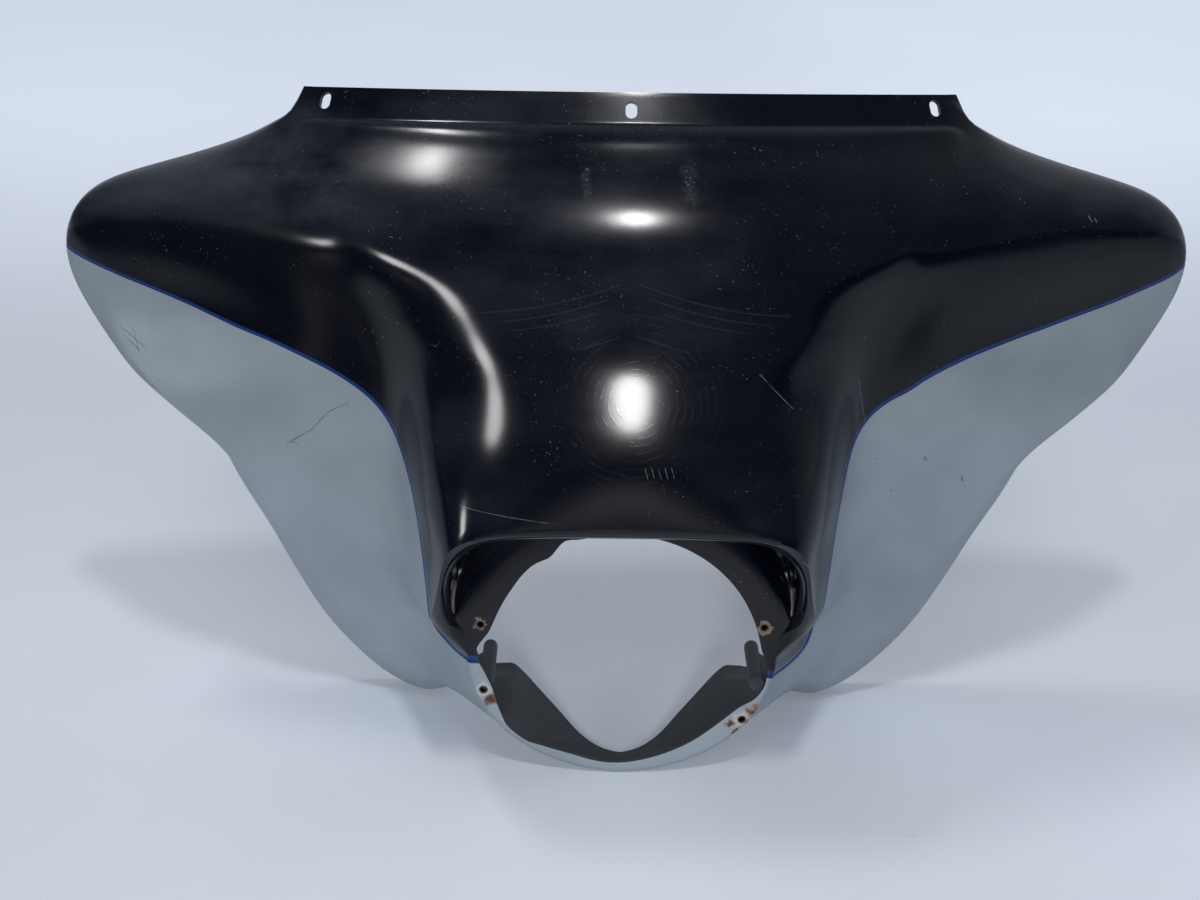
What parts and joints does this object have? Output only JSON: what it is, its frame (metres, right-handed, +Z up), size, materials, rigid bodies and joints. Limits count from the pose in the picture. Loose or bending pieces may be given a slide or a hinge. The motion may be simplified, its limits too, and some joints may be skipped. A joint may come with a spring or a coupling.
{
  "type": "motorcycle fairing",
  "caption": "Outer front fairing of a touring motorcycle: thin moulded shell with swept wings, hooded nose, round headlamp opening, chin band and windscreen flange.",
  "frame": {"origin": "centre of the bounding box's bottom face, on the ground that the chin and the two lower wing tips stand on", "axes": "+Z up, front of the fairing (headlamp opening) towards -Y, +X to the right of someone facing its front"},
  "size_m": [0.82, 0.1981, 0.503],
  "materials": {
    "shell": "gloss black paint over moulded plastic; satin silver-grey lower wings and chin, blue pinstripe between, raw dark grey inside",
    "screw_inserts": "dull, rusted and stained"
  },
  "bodies": {
    "root": {"shell": "shell", "screw_inserts": "screw_inserts"}
  },
  "joints": []
}
